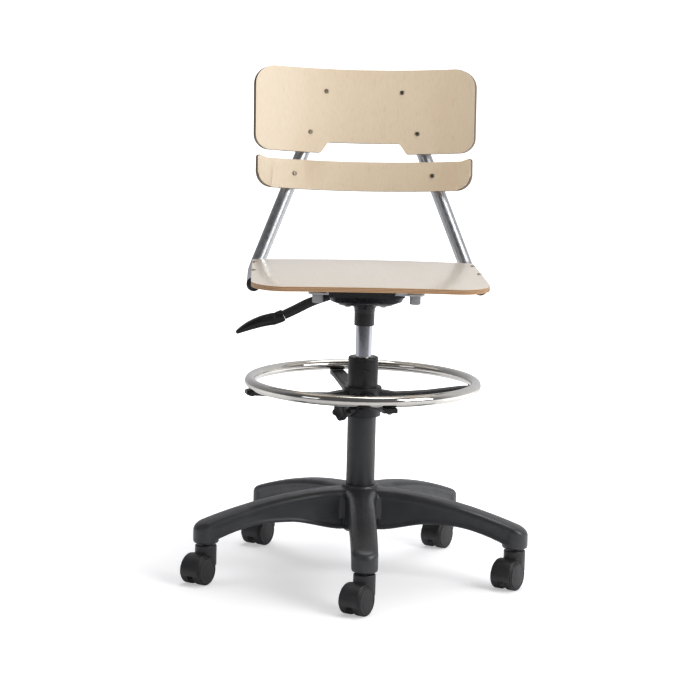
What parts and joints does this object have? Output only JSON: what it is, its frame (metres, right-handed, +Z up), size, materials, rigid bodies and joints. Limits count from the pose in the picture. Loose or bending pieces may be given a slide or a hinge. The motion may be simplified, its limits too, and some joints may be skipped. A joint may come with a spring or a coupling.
{
  "type": "drafting chair",
  "caption": "Height-adjustable plywood work chair with a bent tube frame, gas lift, foot ring and a star base on twin-wheel casters.",
  "frame": {"origin": "on the floor, at the middle of the chair's outline; the column's axis stands at x = 0.015 m, y = 0.006 m", "axes": "+Z up, the sitter faces -Y, +X to the viewer's right when facing the chair"},
  "size_m": [0.6026, 0.6531, 0.8759],
  "materials": {
    "black_plastic": "satin black moulded plastic",
    "caster_plastic": "satin black moulded plastic",
    "black_paint": "semi-gloss black paint",
    "chrome": "bright chrome plate",
    "zinc": "zinc plate",
    "screw_steel": "dark zinc screw",
    "silver_paint": "satin silver paint",
    "grey_rubber": "matt grey",
    "birch_plywood": "clear satin lacquer"
  },
  "bodies": {
    "base": {"star_base": "black_plastic", "column_tube": "black_paint", "column_bush": "black_plastic", "thrust_bearing": "zinc", "rod_clip": "zinc", "caster_stem_1": "zinc", "caster_stem_2": "zinc", "caster_stem_3": "zinc", "caster_stem_4": "zinc", "caster_stem_5": "zinc"},
    "gas_rod": {"piston_rod": "chrome"},
    "seat": {"gas_cylinder": "chrome", "mechanism_pan": "black_paint", "support_plate": "silver_paint", "cross_bar_front": "silver_paint", "cross_bar_rear": "silver_paint", "seat_buffer_left": "grey_rubber", "seat_buffer_right": "grey_rubber", "frame_tube": "silver_paint", "tube_plug_left": "black_plastic", "tube_plug_right": "black_plastic", "seat_panel": "birch_plywood", "back_panel_upper": "birch_plywood", "back_panel_lower": "birch_plywood", "back_screw_slat_left": "screw_steel", "back_screw_slat_right": "screw_steel", "back_screw_middle_left": "screw_steel", "back_screw_middle_right": "screw_steel", "back_screw_top_left": "screw_steel", "back_screw_top_right": "screw_steel", "seat_screw_front_left": "screw_steel", "seat_screw_front_right": "screw_steel", "seat_screw_rear_left": "screw_steel", "seat_screw_rear_right": "screw_steel"},
    "lever": {"lever_arm": "black_paint", "lever_paddle": "black_plastic"},
    "button": {"release_button": "zinc"},
    "foot_ring": {"foot_ring": "chrome", "ring_hub": "black_plastic"},
    "knob": {"clamp_knob": "black_plastic"},
    "caster_1": {"caster_hood_1": "caster_plastic", "caster_axle_1": "zinc"},
    "wheel_left_1": {"caster_wheel_left_1": "caster_plastic"},
    "wheel_right_1": {"caster_wheel_right_1": "caster_plastic"},
    "caster_2": {"caster_hood_2": "caster_plastic", "caster_axle_2": "zinc"},
    "wheel_left_2": {"caster_wheel_left_2": "caster_plastic"},
    "wheel_right_2": {"caster_wheel_right_2": "caster_plastic"},
    "caster_3": {"caster_hood_3": "caster_plastic", "caster_axle_3": "zinc"},
    "wheel_left_3": {"caster_wheel_left_3": "caster_plastic"},
    "wheel_right_3": {"caster_wheel_right_3": "caster_plastic"},
    "caster_4": {"caster_hood_4": "caster_plastic", "caster_axle_4": "zinc"},
    "wheel_left_4": {"caster_wheel_left_4": "caster_plastic"},
    "wheel_right_4": {"caster_wheel_right_4": "caster_plastic"},
    "caster_5": {"caster_hood_5": "caster_plastic", "caster_axle_5": "zinc"},
    "wheel_left_5": {"caster_wheel_left_5": "caster_plastic"},
    "wheel_right_5": {"caster_wheel_right_5": "caster_plastic"}
  },
  "joints": [
    {"name": "seat_swivel", "type": "hinge", "parent": "base", "child": "gas_rod", "pos_m": [0.015, 0.006, 0.09], "axis": [0, 0, 1], "continuous": true},
    {"name": "seat_lift", "type": "slide", "parent": "gas_rod", "child": "seat", "axis": [0, 0, 1], "range_m": [-0.042, 0.118]},
    {"name": "lever_pull", "type": "hinge", "parent": "seat", "child": "lever", "pos_m": [-0.033, -0.024, 0.4955], "axis": [0, 1, 0], "range_deg": [0, 4.5], "stiffness_Nm_per_rad": 1.5, "springref_deg": -14.32},
    {"name": "button_press", "type": "slide", "parent": "seat", "child": "button", "axis": [0, 0, -1], "range_m": [0, 0.004], "stiffness_N_per_m": 150, "springref_m": -0.003},
    {"name": "ring_height", "type": "slide", "parent": "base", "child": "foot_ring", "axis": [0, 0, 1], "range_m": [-0.115, 0]},
    {"name": "knob_turn", "type": "hinge", "parent": "foot_ring", "child": "knob", "pos_m": [0.015, 0.006, 0.296], "axis": [-0.6704, -0.742, 0], "range_deg": [0, 360]},
    {"name": "caster_swivel_1", "type": "hinge", "parent": "base", "child": "caster_1", "pos_m": [0.01206, -0.27498, 0.07], "axis": [0, 0, 1], "continuous": true},
    {"name": "wheel_spin_left_1", "type": "hinge", "parent": "caster_1", "child": "wheel_left_1", "pos_m": [-0.00087, -0.29278, 0.025], "axis": [0.809, -0.5878, 0], "continuous": true},
    {"name": "wheel_spin_right_1", "type": "hinge", "parent": "caster_1", "child": "wheel_right_1", "pos_m": [-0.00087, -0.29278, 0.025], "axis": [0.809, -0.5878, 0], "continuous": true},
    {"name": "caster_swivel_2", "type": "hinge", "parent": "base", "child": "caster_2", "pos_m": [0.28132, -0.08363, 0.07], "axis": [0, 0, 1], "continuous": true},
    {"name": "wheel_spin_left_2", "type": "hinge", "parent": "caster_2", "child": "wheel_left_2", "pos_m": [0.26839, -0.10143, 0.025], "axis": [0.809, -0.5878, 0], "continuous": true},
    {"name": "wheel_spin_right_2", "type": "hinge", "parent": "caster_2", "child": "wheel_right_2", "pos_m": [0.26839, -0.10143, 0.025], "axis": [0.809, -0.5878, 0], "continuous": true},
    {"name": "caster_swivel_3", "type": "hinge", "parent": "base", "child": "caster_3", "pos_m": [0.18254, 0.23159, 0.07], "axis": [0, 0, 1], "continuous": true},
    {"name": "wheel_spin_left_3", "type": "hinge", "parent": "caster_3", "child": "wheel_left_3", "pos_m": [0.16961, 0.21379, 0.025], "axis": [0.809, -0.5878, 0], "continuous": true},
    {"name": "wheel_spin_right_3", "type": "hinge", "parent": "caster_3", "child": "wheel_right_3", "pos_m": [0.16961, 0.21379, 0.025], "axis": [0.809, -0.5878, 0], "continuous": true},
    {"name": "caster_swivel_4", "type": "hinge", "parent": "base", "child": "caster_4", "pos_m": [-0.14778, 0.23505, 0.07], "axis": [0, 0, 1], "continuous": true},
    {"name": "wheel_spin_left_4", "type": "hinge", "parent": "caster_4", "child": "wheel_left_4", "pos_m": [-0.16071, 0.21725, 0.025], "axis": [0.809, -0.5878, 0], "continuous": true},
    {"name": "wheel_spin_right_4", "type": "hinge", "parent": "caster_4", "child": "wheel_right_4", "pos_m": [-0.16071, 0.21725, 0.025], "axis": [0.809, -0.5878, 0], "continuous": true},
    {"name": "caster_swivel_5", "type": "hinge", "parent": "base", "child": "caster_5", "pos_m": [-0.25314, -0.07803, 0.07], "axis": [0, 0, 1], "continuous": true},
    {"name": "wheel_spin_left_5", "type": "hinge", "parent": "caster_5", "child": "wheel_left_5", "pos_m": [-0.26607, -0.09583, 0.025], "axis": [0.809, -0.5878, 0], "continuous": true},
    {"name": "wheel_spin_right_5", "type": "hinge", "parent": "caster_5", "child": "wheel_right_5", "pos_m": [-0.26607, -0.09583, 0.025], "axis": [0.809, -0.5878, 0], "continuous": true}
  ],
  "couplings": [
    {"joint": "button_press", "follows": "lever_pull", "m_per_rad": 0.048}
  ]
}
